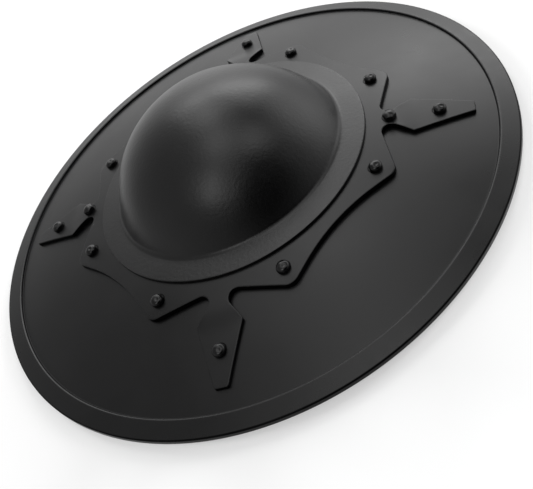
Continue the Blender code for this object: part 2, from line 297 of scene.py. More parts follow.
def dish_profile(start, end, offset, steps):
    radii = [start + (end - start) * i / steps for i in range(steps + 1)]
    return [Vector((radius, dish_height(radius, offset))) for radius in radii]


def seat_on_dish(radius, angle):
    """Places local +Z square to the dish, with the origin on the disc's front."""
    spot = polar(radius, angle).to_3d()
    spot.z = dish_height(radius, 0.0)
    normal = (spot - Vector((0, 0, DISH_CENTRE))).normalized()
    return Matrix.Translation(spot) @ normal.to_track_quat("Z", "Y").to_matrix().to_4x4()


def seat_radius(seat):
    return seat.translation.xy.length


def sheet_wave(spot):
    """How far the pressed sheets stand off the true dish there. It fades out at the rim."""
    share = min(spot.xy.length / RIM_INNER_RADIUS, 1.0)
    fade = 1.0 - share ** 4
    return SHEET_WAVE * fade * noise.noise(Vector((spot.x, spot.y, 0.0)) / SHEET_WAVE_LENGTH)


# Where the fasteners sit

ARM_SEATS = {
    f"arm_rivet_{side}": seat_on_dish(ARM_RIVET_RADIUS, QUARTER * i)
    for i, side in enumerate(("right", "top", "left", "bottom"))}
LOBE_SEATS = {
    f"lobe_rivet_{i + 1}": seat_on_dish(LOBE_RIVET_RADIUS, QUARTER / 2 * (i + 0.5))
    for i in range(8)}
RIVET_SEATS = {**ARM_SEATS, **LOBE_SEATS}
BOLT_SEATS = {
    "grip_bolt_right": seat_on_dish(BOLT_RADIUS, 0.0),
    "grip_bolt_left": seat_on_dish(BOLT_RADIUS, math.pi)}


# Mesh building. A ring is a list of vertices; a ring of one is a pole.

def add_ring(shape, points):
    return [shape.verts.new(point) for point in points]


def join(shape, upper, lower):
    """Faces between two rings, pointing out when the profile runs down the outer side."""
    count = max(len(upper), len(lower))
    for i in range(count):
        after = (i + 1) % count
        corners = [upper[i % len(upper)], lower[i % len(lower)]]
        corners += [lower[after % len(lower)], upper[after % len(upper)]]
        shape.faces.new(list(dict.fromkeys(corners)))


def lathe(shape, profile, steps):
    """Turns a profile of (radius, height) points about Z and returns its rings."""
    rings = []
    for point in profile:
        if point.x < MERGE:
            rings.append(add_ring(shape, [(0.0, 0.0, point.y)]))
        else:
            rings.append(add_ring(shape, [(*spot, point.y) for spot in around(point.x, steps)]))
    for upper, lower in zip(rings, rings[1:]):
        join(shape, upper, lower)
    return rings


def polar_spots(inner, outer):
    """Evenly spread points between two radii."""
    count = round((outer - inner) / MESH_SPACING)
    spots = []
    for i in range(1, count):
        radius = inner + (outer - inner) * i / count
        steps = round(2 * math.pi * radius / MESH_SPACING)
        turn = 0.5 * (i % 2)
        spots += [polar(radius, 2 * math.pi * (k + turn) / steps) for k in range(steps)]
    return spots


def fill_dish(shape, loops, spots, offset, upward, close_spots=()):
    """Fills the dish inside the first loop and outside the others, by way of the spots.

    Spots too near a loop are left out, but for the close ones. The offset is a function of the radius.
    """
    known = [vert for loop in loops for vert in loop]
    owner = [number for number, loop in enumerate(loops) for _ in loop]
    flat = [vert.co.xy for vert in known]
    lines = []
    start = 0
    for loop in loops:
        lines += [(start + i, start + (i + 1) % len(loop)) for i in range(len(loop))]
        start += len(loop)
    tree = KDTree(len(flat))
    for i, spot in enumerate(flat):
        tree.insert(spot.to_3d(), i)
    tree.balance()
    flat += [spot for spot in spots if tree.find(spot.to_3d())[2] > MESH_SPACING / 2]
    flat += close_spots
    places, _, faces, origins, _, _ = delaunay_2d_cdt(flat, lines, [], 1, MERGE / 10)
    sources = [[k for k in origins[i] if k < len(known)] for i in range(len(places))]
    made = {}
    for face in faces:
        owners = {owner[sources[i][0]] if sources[i] else 0 for i in face}
        if len(owners) == 1 and owners != {0}:
            continue
        triangle = []
        for i in face:
            if i not in made and sources[i]:
                made[i] = known[sources[i][0]]
            elif i not in made:
                made[i] = shape.verts.new(on_dish(places[i], offset(places[i].length)))
            triangle.append(made[i])
        shape.faces.new(triangle if upward else triangle[::-1])


def hole_loop(shape, seat, radius, offset):
    return add_ring(shape, [seat @ Vector((*spot, offset)) for spot in around(radius, HOLE_STEPS)])


def fastener_holes(shape, top, bottom):
    """Loops of every hole on a sheet's two sides, with the walls between them."""
    holes = [(seat, RIVET_SHANK_RADIUS + HOLE_CLEARANCE) for seat in RIVET_SEATS.values()]
    holes += [(seat, BOLT_SHANK_RADIUS + HOLE_CLEARANCE) for seat in BOLT_SEATS.values()]
    above = [hole_loop(shape, seat, radius, top(seat_radius(seat))) for seat, radius in holes]
    below = [hole_loop(shape, seat, radius, bottom(seat_radius(seat))) for seat, radius in holes]
    for upper, lower in zip(above, below):
        join(shape, lower, upper)
    return above, below


def mark_near(mesh, name, groups):
    """Stores on each vertex how near it is to groups of points, each with the width of its mark."""
    nearness = mesh.attributes.new(name, "FLOAT", "POINT")
    for points, width in groups:
        tree = KDTree(len(points))
        for i, point in enumerate(points):
            tree.insert(point, i)
        tree.balance()
        for vert in mesh.vertices:
            near = tree.find(vert.co)[2] / width
            spot = nearness.data[vert.index]
            spot.value = max(spot.value, math.exp(-near * near))


def circle(radius, height):
    return [Vector((*spot, height)) for spot in around(radius, ROUND_STEPS)]


def dish_ring(shape, radius, offset):
    return add_ring(shape, circle(radius, dish_height(radius, offset)))


def new_object(name, shape):
    """Puts a built shape into the scene, with its faces pointing out."""
    bmesh.ops.recalc_face_normals(shape, faces=shape.faces)
    mesh = bpy.data.meshes.new(name)
    shape.to_mesh(mesh)
    shape.free()
    added = bpy.data.objects.new(name, mesh)
    bpy.context.scene.collection.objects.link(added)
    return added


def shade(mesh, material):
    mesh.shade_smooth()
    mesh.set_sharp_from_angle(angle=SHARP_ANGLE)
    mesh.materials.append(material)


def finish_piece(name, shape, material, edges, wear_width, shade_places=()):
    """Turns the built shape into a piece that rides on the body.

    Edges are points where the coat is rubbed. The last argument holds groups of points where shade is
    painted: the coat reflects less there, so that they look dark.
    """
    piece = new_object(name, shape)
    mesh = piece.data
    mark_near(mesh, "wear", [(edges, wear_width)])
    if shade_places:
        mark_near(mesh, "painted_shade", shade_places)
    for vert in mesh.vertices:
        vert.co.z += sheet_wave(vert.co)
    shade(mesh, material)
    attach(piece, "root")
    return piece


# Materials

class Nodes:
    """A material's node tree with short calls to add and link nodes."""

    def __init__(self, name):
        self.material = bpy.data.materials.new(name)
        self.material.use_nodes = True
        self.tree = self.material.node_tree
        self.shader = self.tree.nodes["Principled BSDF"]

    def add(self, kind, values=(), **settings):
        """A node with its settings, and with its inputs by index or name."""
        node = self.tree.nodes.new(kind)
        for setting, value in settings.items():
            setattr(node, setting, value)
        for key, value in dict(values).items():
            if isinstance(value, bpy.types.NodeSocket):
                self.tree.links.new(value, node.inputs[key])
            else:
                node.inputs[key].default_value = value
        return node

    def noise(self, where, size, detail=3.0, roughness=0.55):
        """Smooth noise from 0 to 1 with features of about that size."""
        return self.add(
            "ShaderNodeTexNoise",
            {"Vector": where, "Scale": 1.0 / size, "Detail": detail, "Roughness": roughness}).outputs["Fac"]

    def between(self, value, low, high, to_low, to_high):
        return self.add(
            "ShaderNodeMapRange",
            {"Value": value, "From Min": low, "From Max": high, "To Min": to_low, "To Max": to_high},
            interpolation_type="SMOOTHSTEP").outputs["Result"]

    def sum(self, first, second, kind="ADD"):
        return self.add("ShaderNodeMath", {0: first, 1: second}, operation=kind).outputs[0]

    def mix(self, share, first, second):
        """Mixes two colours. A Mix node's colour sockets come after its number and vector ones."""
        node = self.add("ShaderNodeMix", {0: share}, data_type="RGBA")
        for index, colour in ((6, first), (7, second)):
            if isinstance(colour, bpy.types.NodeSocket):
                self.tree.links.new(colour, node.inputs[index])
            else:
                node.inputs[index].default_value = (*colour, 1.0)
        return node.outputs[2]

    def bump(self, depth, height, **inputs):
        values = {"Strength": 1.0, "Distance": depth, "Height": height, **inputs}
        return self.add("ShaderNodeBump", values).outputs["Normal"]

    def attribute(self, name):
        return self.add("ShaderNodeAttribute", attribute_name=name).outputs["Fac"]

    def feed(self, **inputs):
        """Links values to the shader's inputs, given with _ for a space."""
        for name, value in inputs.items():
            self.tree.links.new(value, self.shader.inputs[name.replace("_", " ")])


def satin_coat(name, colour, roughness, grain=SHEET_GRAIN, mottle=COAT_MOTTLE, painted_wall_shade=False):
    """A black coat: cloudy sheen, faint scuffs and specks, rubbed edges and a fine grain."""
    nodes = Nodes(name)
    where = nodes.add("ShaderNodeTexCoord").outputs["Object"]
    clouds = nodes.noise(where, CLOUD_SIZE)
    streaked = nodes.add(
        "ShaderNodeMapping",
        {"Vector": where, "Rotation": SCUFF_TURN, "Scale": SCUFF_STRETCH}).outputs[0]
    scuffs = nodes.between(nodes.noise(streaked, SCUFF_SIZE, detail=5.0), 0.60, 0.78, 0.0, 1.0)
    cells = nodes.add(
        "ShaderNodeTexVoronoi", {"Vector": where, "Scale": SPECKS_PER_METRE, "Randomness": 1.0})
    dots = nodes.between(cells.outputs["Distance"], 0.018, 0.034, 1.0, 0.0)
    patches = nodes.noise(where, SPECK_PATCH_SIZE, detail=0.0)
    specks = nodes.sum(dots, nodes.between(patches, 0.56, 0.64, 0.0, 1.0), "MULTIPLY")
    broken = nodes.between(nodes.noise(where, RUB_SIZE, detail=4.0), 0.42, 0.66, 0.0, 1.0)
    wear = nodes.sum(nodes.attribute("wear"), broken, "MULTIPLY")

    lighter, worn, pale = [tuple(channel * gain for channel in colour) for gain in (1.6, 4.0, 9.0)]
    base = nodes.mix(nodes.between(clouds, 0.3, 0.7, 0.0, 1.0), colour, lighter)
    base = nodes.mix(nodes.sum(scuffs, 0.25, "MULTIPLY"), base, worn)
    base = nodes.mix(nodes.sum(wear, 0.5, "MULTIPLY"), base, worn)
    base = nodes.mix(specks, base, pale)

    sheen = nodes.between(clouds, 0.25, 0.75, roughness - 0.03, roughness + 0.04)
    sheen = nodes.sum(sheen, nodes.sum(scuffs, 0.05, "MULTIPLY"))
    sheen = nodes.sum(sheen, nodes.sum(wear, -0.08, "MULTIPLY"))

    grain_size, grain_depth = grain
    mottling = nodes.bump(mottle, nodes.noise(where, MOTTLE_SIZE, detail=3.0, roughness=0.6))
    surface = nodes.bump(grain_depth, nodes.noise(where, grain_size, detail=2.0), Normal=mottling)
    nodes.feed(Base_Color=base, Roughness=sheen, Normal=surface)
    # Painted shade: where the mesh marks it, the coat's specular level drops, darkening walls, rim lines and
    # the heads' feet as shade would
    if painted_wall_shade:
        gloss = nodes.between(nodes.attribute("painted_shade"), 0.1, 0.6, GLOSS, PAINTED_SHADE_GLOSS)
        nodes.feed(Specular_IOR_Level=gloss)
    return nodes.material


# Shield disc

def make_disc(material):
    shape = bmesh.new()
    front_edge = Vector((RIM_INNER_RADIUS, dish_height(RIM_INNER_RADIUS, 0.0)))
    band_inner = Vector((RIM_INNER_RADIUS, dish_height(RIM_INNER_RADIUS, RIM_STEP)))
    band_outer = Vector((SHIELD_RADIUS, RIM_WALL_HEIGHT))
    ground_outer = Vector((SHIELD_RADIUS, 0.0))
    ground_inner = Vector((SHIELD_RADIUS - RIM_SEAT_WIDTH, 0.0))
    inside = RIM_INNER_RADIUS - 3 * RIM_STEP
    before = Vector((inside, dish_height(inside, 0.0)))
    back_edge = Vector((RIM_INNER_RADIUS, dish_height(RIM_INNER_RADIUS, DISC_BACK)))
    profile = [before]
    profile += edge_round(before, front_edge, band_inner, RIM_FOOT_ROUND)[:-1]
    profile += edge_round(front_edge, band_inner, band_outer, RIM_STEP_ROUND)[1:]
    profile.append((band_inner + band_outer) / 2)
    profile += edge_round(band_inner, band_outer, ground_outer, RIM_ROUND)
    profile += edge_round(band_outer, ground_outer, ground_inner, GROUND_ROUND)
    profile += edge_round(ground_outer, ground_inner, back_edge, GROUND_ROUND)
    profile.append(back_edge)
    rings = lathe(shape, profile, ROUND_STEPS)
    top_inner = dish_ring(shape, OPENING_RADIUS, 0.0)
    back_inner = dish_ring(shape, OPENING_RADIUS, DISC_BACK)
    join(shape, back_inner, top_inner)
    above, below = fastener_holes(shape, keeps(0.0), keeps(DISC_BACK))
    spots = polar_spots(OPENING_RADIUS, RIM_INNER_RADIUS)
    fill_dish(shape, [rings[0], top_inner, *above], spots, keeps(0.0), True)
    fill_dish(shape, [rings[-1], back_inner, *below], spots, keeps(DISC_BACK), False)
    edges = circle(RIM_INNER_RADIUS + RIM_STEP_ROUND / 2, band_inner.y)
    edges += circle(SHIELD_RADIUS, RIM_WALL_HEIGHT)
    # Painted shade: a dark line on the step's wall and one at the outer brow, where the coat reflects less
    painted_shade = circle(RIM_INNER_RADIUS, front_edge.lerp(band_inner, RIM_WALL_SHARE).y)
    cut_in = RIM_ROUND * RIM_BROW_SHARE
    brow = circle(SHIELD_RADIUS - cut_in, RIM_WALL_HEIGHT - cut_in)
    piece = finish_piece(
        "coated_disc", shape, material, edges, RIM_WEAR, [(painted_shade, RIM_SHADE_WIDTH), (brow, RIM_SHADE_WIDTH)])
    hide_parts("shield_disc")


# Star plate

def star_outline():
    """The outline from the middle of an arm round to where it starts, as the solid has it."""
    foot = Vector((WAIST_RADIUS, 0.0))
    lobe = polar(LOBE_REACH, QUARTER / 4)
    along = (lobe - foot).normalized()
    outward = Vector((along.y, -along.x))
    neck = Vector((0.0, NECK_HALF + NECK_ROUND))
    neck.x = foot.x + (NECK_ROUND - neck.y * outward.y) / outward.x
    shoulder = Vector((SHOULDER_RADIUS, SHOULDER_HALF))
    to_shoulder = shoulder - neck
    start = math.atan2(to_shoulder.y, to_shoulder.x) - math.acos(NECK_ROUND / to_shoulder.length)
    end = math.atan2(-outward.y, -outward.x) - 2 * math.pi
    neck_arc = arc(neck, NECK_ROUND, start, end, 3 * CORNER_STEPS)
    tip = Vector((ARM_REACH, ARM_TIP_HALF))
    waist = polar(WAIST_RADIUS, QUARTER / 2)
    next_lobe = polar(LOBE_REACH, QUARTER * 3 / 4)
    half = rounded_corner(Vector((ARM_REACH, 0.0)), tip, shoulder, ARM_TIP_ROUND)
    half += rounded_corner(tip, shoulder, neck_arc[0], SHOULDER_ROUND, EDGE_STEPS)
    half += neck_arc
    half += rounded_corner(foot, lobe, waist, LOBE_ROUND)
    waist_arc = rounded_corner(lobe, waist, next_lobe, WAIST_ROUND, 4 * CORNER_STEPS)
    half += waist_arc[:2 * CORNER_STEPS + 1]
    mirrored = [Vector((point.y, point.x)) for point in reversed(half[:-1])]
    outline = []
    for i in range(4):
        turn = Matrix.Rotation(QUARTER * i, 2)
        outline += [turn @ point for point in half + mirrored]
    return outline


def evenly(outline):
    """Divides long stretches of a closed outline, so that it follows the dish."""
    points = []
    for point, after in zip(outline, outline[1:] + outline[:1]):
        count = max(1, math.ceil((after - point).length / OUTLINE_SPACING))
        points += [point.lerp(after, k / count) for k in range(count)]
    return points


def inset(outline, distance):
    """The outline moved inward by a distance."""
    moved = []
    for i, point in enumerate(outline):
        into = (point - outline[i - 1]).normalized()
        out = (outline[(i + 1) % len(outline)] - point).normalized()
        along = (into + out).normalized()
        inward = Vector((-along.y, along.x))
        moved.append(point + inward * (distance / max(along.dot(into), MITRE_LIMIT)))
    return moved


def make_plate(material):
    shape = bmesh.new()
    outline = evenly(star_outline())
    steps = [(PLATE_EDGE_ROUND + HOLD, 0.0)]
    for i in range(EDGE_STEPS + 1):
        angle = QUARTER * i / EDGE_STEPS
        inward, down = 1 - math.sin(angle), 1 - math.cos(angle)
        steps.append((PLATE_EDGE_ROUND * inward, PLATE_EDGE_ROUND * down))
    steps.append((0.0, PLATE_EDGE_ROUND + HOLD))
    loops = []
    for distance, below in steps:
        points = inset(outline, distance)
        loops.append(add_ring(shape, [on_dish(point, plate_top(point.length) - below) for point in points]))
    loops.append(add_ring(shape, [on_dish(point, PLATE_BOTTOM) for point in outline]))
    for upper, lower in zip(loops, loops[1:]):
        join(shape, upper, lower)
    top_inner = dish_ring(shape, OPENING_RADIUS, PLATE_TOP)
    back_inner = dish_ring(shape, OPENING_RADIUS, PLATE_BOTTOM)
    join(shape, back_inner, top_inner)
    above, below = fastener_holes(shape, plate_top, keeps(PLATE_BOTTOM))
    spots = polar_spots(OPENING_RADIUS, ARM_REACH)
    seats = [*RIVET_SEATS.values(), *BOLT_SEATS.values()]
    heads = [seat.translation.xy for seat in seats]
    room = HEAD_RINGS[-1] + HOLD
    clear = [spot for spot in spots if min((spot - head).length for head in heads) > room]
    rings = [[(seat @ spot.to_3d()).xy for spot in around(radius, RIVET_STEPS)]
             for seat in seats for radius in HEAD_RINGS]
    close_spots = [spot for ring in rings for spot in ring]
    fill_dish(shape, [loops[0], top_inner, *above], clear, plate_top, True, close_spots)
    fill_dish(shape, [loops[-1], back_inner, *below], spots, keeps(PLATE_BOTTOM), False)
    edges = [on_dish(point, plate_top(point.length)) for point in outline]
    # Painted shade: the plate's walls and rings at the heads' feet, where the coat reflects less so that they
    # look dark
    shade_places = [vert.co.copy() for ring in loops[-2:] for vert in ring]
    feet = [on_dish(spot, plate_top(spot.length))
            for ring in rings[HEAD_FOOT::len(HEAD_RINGS)] for spot in ring]
    painted_shade_groups = [(shade_places, PLATE_WALL_SHADE_WIDTH), (feet, HEAD_FOOT_SHADE_WIDTH)]
    piece = finish_piece("coated_star_plate", shape, material, edges, SHEET_WEAR, painted_shade_groups)
    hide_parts("star_plate")


# Boss

def fillet_centre():
    """The point as far outside the dome as above the flange: there the fillet has its middle."""
    from_dish = DISH_RADIUS + FLANGE_TOP + BOSS_FILLET
    from_dome = BOSS_DOME_RADIUS + BOSS_FILLET
    across = 2 * (DISH_CENTRE - DOME_CENTRE)
    height = (from_dome ** 2 - from_dish ** 2 + DISH_CENTRE ** 2 - DOME_CENTRE ** 2) / across
    return Vector((math.sqrt(from_dome ** 2 - (height - DOME_CENTRE) ** 2), height))


def boss_skin(inset_by, dome_steps):
    """One side of the boss, from the top of the dome down to the flange."""
    middle = fillet_centre()
    dome_centre = Vector((0.0, DOME_CENTRE))
    to_dome = dome_centre - middle
    to_dish = Vector((0.0, DISH_CENTRE)) - middle
    dome_end = math.atan2(-to_dome.y, -to_dome.x)
    fillet_start = dome_end - math.pi
    fillet_end = math.atan2(to_dish.y, to_dish.x)
    skin = arc(dome_centre, BOSS_DOME_RADIUS - inset_by, QUARTER, dome_end, dome_steps)
    skin[0].x = 0.0
    skin += arc(middle, BOSS_FILLET + inset_by, fillet_start, fillet_end, CORNER_STEPS)[1:]
    skin += dish_profile(skin[-1].x, FLANGE_RADIUS, FLANGE_TOP - inset_by, EDGE_STEPS)[1:-1]
    return skin


def dome_wave(point):
    """How far the hand-finished dome stands off a true sphere there. It fades out above the fillet."""
    share = (point.z - DOME_CENTRE) / BOSS_DOME_RADIUS
    fade = min(max((share - DOME_WAVE_START) / DOME_WAVE_FADE, 0.0), 1.0)
    wide = noise.noise(point / DOME_WAVE_LENGTH + DOME_WAVE_SHIFT)
    dents = noise.noise(point / DENT_WAVE_LENGTH + DENT_WAVE_SHIFT)
    return fade * (DOME_WAVE * wide + DENT_WAVE * dents)


def make_boss(material):
    shape = bmesh.new()
    top_corner = Vector((FLANGE_RADIUS, dish_height(FLANGE_RADIUS, FLANGE_TOP)))
    low_corner = Vector((FLANGE_RADIUS, dish_height(FLANGE_RADIUS, FLANGE_BOTTOM)))
    outside = boss_skin(0.0, DOME_STEPS)
    inside = boss_skin(BOSS_THICKNESS, DOME_STEPS // 2)
    edge = edge_round(outside[-1], top_corner, low_corner, FLANGE_EDGE_ROUND)
    lathe(shape, [*outside, *edge, low_corner, *inside[::-1]], ROUND_STEPS)
    dome_centre = Vector((0.0, 0.0, DOME_CENTRE))
    nick = seat_on_dish(FLANGE_RADIUS, NICK_ANGLE) @ Vector((0.0, 0.0, FLANGE_TOP))
    for vert in shape.verts:
        if vert.co.z > dish_height(OPENING_RADIUS, FLANGE_TOP):
            vert.co += (vert.co - dome_centre).normalized() * dome_wave(vert.co)
        near = (vert.co - nick).length / (NICK_LENGTH / 2)
        vert.co.z += NICK_HEIGHT * math.exp(-near * near)
    edges = circle(FLANGE_RADIUS, top_corner.y)
    piece = finish_piece("coated_boss", shape, material, edges, SHEET_WEAR)
    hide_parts("boss")


# Rivets

def rivet_profile():
    """Down the head's crown and side, along the shank and round the tail."""
    crown_height = RIVET_HEAD_HEIGHT - RIVET_HEAD_SIDE
    profile = []
    for i in range(2 * CORNER_STEPS + 1):
        angle = QUARTER * (1 - i / (2 * CORNER_STEPS))
        rise = RIVET_HEAD_SIDE + crown_height * math.sin(angle) ** RIVET_CROWN_POWER
        profile.append(Vector((RIVET_HEAD_RADIUS * math.cos(angle), HEAD_SEAT + rise)))
    profile[0].x = 0.0
    profile.append(Vector((RIVET_HEAD_RADIUS, HEAD_SEAT + RIVET_HEAD_UNDERCUT)))
    tail_seat = DISC_BACK - FIT_GAP
    tail_end = tail_seat - RIVET_TAIL_HEIGHT
    profile += [Vector((RIVET_HEAD_FOOT, HEAD_SEAT)), Vector((RIVET_SHANK_RADIUS, HEAD_SEAT))]
    tail_top = Vector((RIVET_TAIL_RADIUS, tail_seat))
    tail_corner = Vector((RIVET_TAIL_RADIUS, tail_end))
    tail_middle = Vector((0.0, tail_end))
    profile += [Vector((RIVET_SHANK_RADIUS, tail_seat)), tail_top]
    profile += rounded_corner(tail_top, tail_corner, tail_middle, RIVET_TAIL_ROUND, EDGE_STEPS)
    profile.append(tail_middle)
    return profile


def make_rivet(node, seat, number, material):
    """A rivet whose head keeps faint marks of the setting tool, others on each.

    On an arm the head sits lower, as the arm is thinner there.
    """
    shape = bmesh.new()
    lathe(shape, rivet_profile(), RIVET_STEPS)
    lower = PLATE_TOP - plate_top(seat_radius(seat))
    dent = (seat.to_3x3().inverted() @ DENT_SIDE).xy * RIVET_DENT_RADIUS
    shift = Vector((number * TOOL_MARK_SHIFT, 0.0, 0.0))
    for vert in shape.verts:
        if vert.co.z > HEAD_SEAT + RIVET_HEAD_SIDE / 2:
            vert.co.z += TOOL_MARK_DEPTH * noise.noise(vert.co / TOOL_MARK_SIZE + shift)
            near = (vert.co.xy - dent).length / RIVET_DENT_RADIUS
            vert.co.z -= RIVET_DENT * math.exp(-near * near)
        if vert.co.z > PLATE_BOTTOM:
            vert.co.z -= lower
    shape.transform(seat)
    height = HEAD_SEAT + RIVET_HEAD_HEIGHT * RIVET_BROW_UP
    brow = [seat @ Vector((*spot, height)) for spot in around(RIVET_HEAD_RADIUS * RIVET_BROW_OUT, HOLE_STEPS)]
    piece = finish_piece(f"coated_{node}", shape, material, brow, RIVET_WEAR)
    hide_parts(node)


# Grip bolts

def make_bolt(node, seat, material):
    """A six-sided head with a crowned top, on a plain shank."""
    shape = bmesh.new()
    flat_half = BOLT_HEAD_WIDTH / 2
    head_top = HEAD_SEAT + BOLT_HEAD_HEIGHT
    bolt_end = HEAD_SEAT - BOLT_LENGTH
    sides = []
    for k in range(BOLT_STEPS):
        angle = 2 * math.pi * k / BOLT_STEPS
        off_flat = (angle + math.pi / 6) % (math.pi / 3) - math.pi / 6
        sides.append((angle, flat_half / math.cos(off_flat)))

    def crown(share, drop=0.0):
        return [(*polar(reach * share, angle),
                 head_top - drop - BOLT_CROWN_DROP * (reach * share / flat_half) ** 2)
                for angle, reach in sides]

    shank = around(BOLT_SHANK_RADIUS, BOLT_STEPS)
    shares = [i / CORNER_STEPS for i in range(1, CORNER_STEPS)]
    levels = [[(0.0, 0.0, head_top)]]
    levels += [crown(share) for share in (*shares, *BOLT_EDGE_RINGS)]
    levels.append(crown(1.0, BOLT_BROW_DROP))
    levels.append([(*polar(reach, angle), HEAD_SEAT) for angle, reach in sides])
    levels += [[(*spot, height) for spot in shank] for height in (HEAD_SEAT, bolt_end)]
    levels.append([(0.0, 0.0, bolt_end)])
    rings = [add_ring(shape, points) for points in levels]
    for upper, lower in zip(rings, rings[1:]):
        join(shape, upper, lower)
    brow = rings[len(shares) + len(BOLT_EDGE_RINGS) + 1]
    shape.transform(seat)
    edges = [vert.co.copy() for vert in brow]
    piece = finish_piece(f"coated_{node}", shape, material, edges, BOLT_WEAR)
    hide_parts(node)


# Grip

def grip_radius(x):
    """The bar's radius, which swells smoothly from the necks to the middle."""
    share = min(abs(x) / GRIP_NECK_AT, 1.0)
    return GRIP_NECK_RADIUS + (GRIP_MIDDLE_RADIUS - GRIP_NECK_RADIUS) * math.cos(QUARTER * share)


def cut(piece, other, operation):
    boolean = piece.modifiers.new(operation.lower(), "BOOLEAN")
    boolean.operation = operation
    boolean.solver = "EXACT"
    boolean.object = other


def built(name, build):
    shape = bmesh.new()
    build(shape)
    return new_object(name, shape)


def make_grip(material):
    """The moulded bar with its end pads, cut to the disc's back and drilled for the bolts."""
    along = Matrix.Rotation(QUARTER, 4, "Y")
    oval = Matrix.Diagonal((1.0, GRIP_WIDEN, GRIP_FLATTEN, 1.0))
    bar_place = Matrix.Translation((0.0, 0.0, GRIP_AXIS_HEIGHT)) @ oval

    def build_bar(shape):
        stations = [BOLT_RADIUS * (1 - 2 * k / GRIP_SPANS) for k in range(GRIP_SPANS + 1)]
        profile = [Vector((0.0, BOLT_RADIUS))]
        profile += [Vector((grip_radius(x), x)) for x in stations]
        profile.append(Vector((0.0, -BOLT_RADIUS)))
        lathe(shape, profile, RIVET_STEPS)
        shape.transform(bar_place @ along)

    def build_pads(shape):
        top = dish_height(BOLT_RADIUS - PAD_RADIUS, 0.0)
        profile = [Vector((0.0, top)), Vector((PAD_RADIUS, top))]
        profile += [Vector((PAD_RADIUS, PAD_BOTTOM)), Vector((0.0, PAD_BOTTOM))]
        for x in (-BOLT_RADIUS, BOLT_RADIUS):
            for ring in lathe(shape, profile, RIVET_STEPS):
                for vert in ring:
                    vert.co.x += x

    def build_above(shape):
        inner = OPENING_RADIUS - FIT_GAP
        outer = BOLT_RADIUS + 2 * PAD_RADIUS
        profile = [Vector((inner, BOSS_HEIGHT)), Vector((outer, BOSS_HEIGHT))]
        profile += dish_profile(outer, inner, DISC_BACK - FIT_GAP, CORNER_STEPS)
        rings = lathe(shape, profile, ROUND_STEPS)
        join(shape, rings[-1], rings[0])
        shape.transform(Matrix.Rotation(math.pi / ROUND_STEPS, 4, "Z"))

    def build_holes(shape):
        radius = BOLT_SHANK_RADIUS + HOLE_CLEARANCE
        end = HEAD_SEAT - BOLT_LENGTH - HOLE_CLEARANCE
        profile = [Vector((0.0, HEAD_SEAT)), Vector((radius, HEAD_SEAT))]
        profile += [Vector((radius, end)), Vector((0.0, end))]
        for seat in BOLT_SEATS.values():
            for ring in lathe(shape, profile, HOLE_STEPS):
                for vert in ring:
                    vert.co = seat @ vert.co

    grip = built("moulded_grip", build_bar)
    pads = built("grip_pads", build_pads)
    above = built("above_back", build_above)
    holes = built("bolt_holes", build_holes)
    cut(grip, pads, "UNION")
    cut(grip, above, "DIFFERENCE")
    cut(grip, holes, "DIFFERENCE")
    remesh = grip.modifiers.new("remesh", "REMESH")
    remesh.mode = "VOXEL"
    remesh.voxel_size = GRIP_VOXEL
    smooth = grip.modifiers.new("smooth", "SMOOTH")
    smooth.factor = GRIP_SMOOTHING
    smooth.iterations = GRIP_SMOOTHINGS
    bpy.context.view_layer.update()
    finished = grip.evaluated_get(bpy.context.evaluated_depsgraph_get())
    mesh = bpy.data.meshes.new_from_object(finished)
    grip.modifiers.clear()
    grip.data = mesh
    for cutter in (pads, above, holes):
        bpy.data.objects.remove(cutter, do_unlink=True)
    mesh.materials.clear()
    shade(mesh, material)
    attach(grip, "root")
    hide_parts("grip")


# Studio. Each soft light is a glow in the room with its azimuth, elevation, half width in degrees
# and radiance, 1 being white. A radiance below 0 takes light away, as the last does on the side
# where the photographer stands.

ROOM_RADIANCE = 0.34
SOFT_LIGHTS = (
    (77, 26, 9, 2.25),
    (91, 33, 8, 2.3),
    (72, 43, 6, 0.7),
    (114, 38, 8, 2.1),
    (106, 60, 10, 1.6),
    (104, 11, 20, 0.66),
    (41, 16, 20, 1.1),
    (4, 58, 10, 1.2),
    (30, 53, 10, -0.36),
    (-25, 46, 14, -0.18),
    (-102, 51, 9, 2.0),
    (-70, 72, 14, 0.4),
    (60, 87, 11, 1.1),
    (135, -30, 24, 0.4),
    (20, -45, 24, 0.55),
    (165, 25, 24, -0.08),
    (-54, 25, 36, -0.38))
FLOOR_COLOUR = (0.30, 0.30, 0.30, 1.0)
FLOOR_GLOW = 0.43
FLOOR_ROUGHNESS = 0.8
FLOOR_HALF = 8.0
FLOOR_HEIGHT = -0.0001
WHITE = (1.0, 1.0, 1.0, 1.0)
FLOOR_LIGHT_AZIMUTHS = (50, 80, 110, 140, 170)
FLOOR_LIGHT_ELEVATION = 10.5
FLOOR_LIGHT_SPREAD = 12
FLOOR_LIGHT_STRENGTH = 5.4


def direction(azimuth, elevation):
    level = math.cos(math.radians(elevation))
    turn = math.radians(azimuth)
    return Vector((level * math.cos(turn), level * math.sin(turn), math.sin(math.radians(elevation))))


def make_lights():
    """A row of low lights behind the shield for the floor and its shadow, not seen in the coat."""
    for azimuth in FLOOR_LIGHT_AZIMUTHS:
        sun = bpy.data.lights.new("floor_light", "SUN")
        sun.energy = FLOOR_LIGHT_STRENGTH
        sun.angle = math.radians(FLOOR_LIGHT_SPREAD)
        lamp = bpy.data.objects.new("floor_light", sun)
        toward = direction(azimuth, FLOOR_LIGHT_ELEVATION)
        lamp.rotation_euler = toward.to_track_quat("Z", "Y").to_euler()
        lamp.visible_glossy = False
        bpy.context.scene.collection.objects.link(lamp)


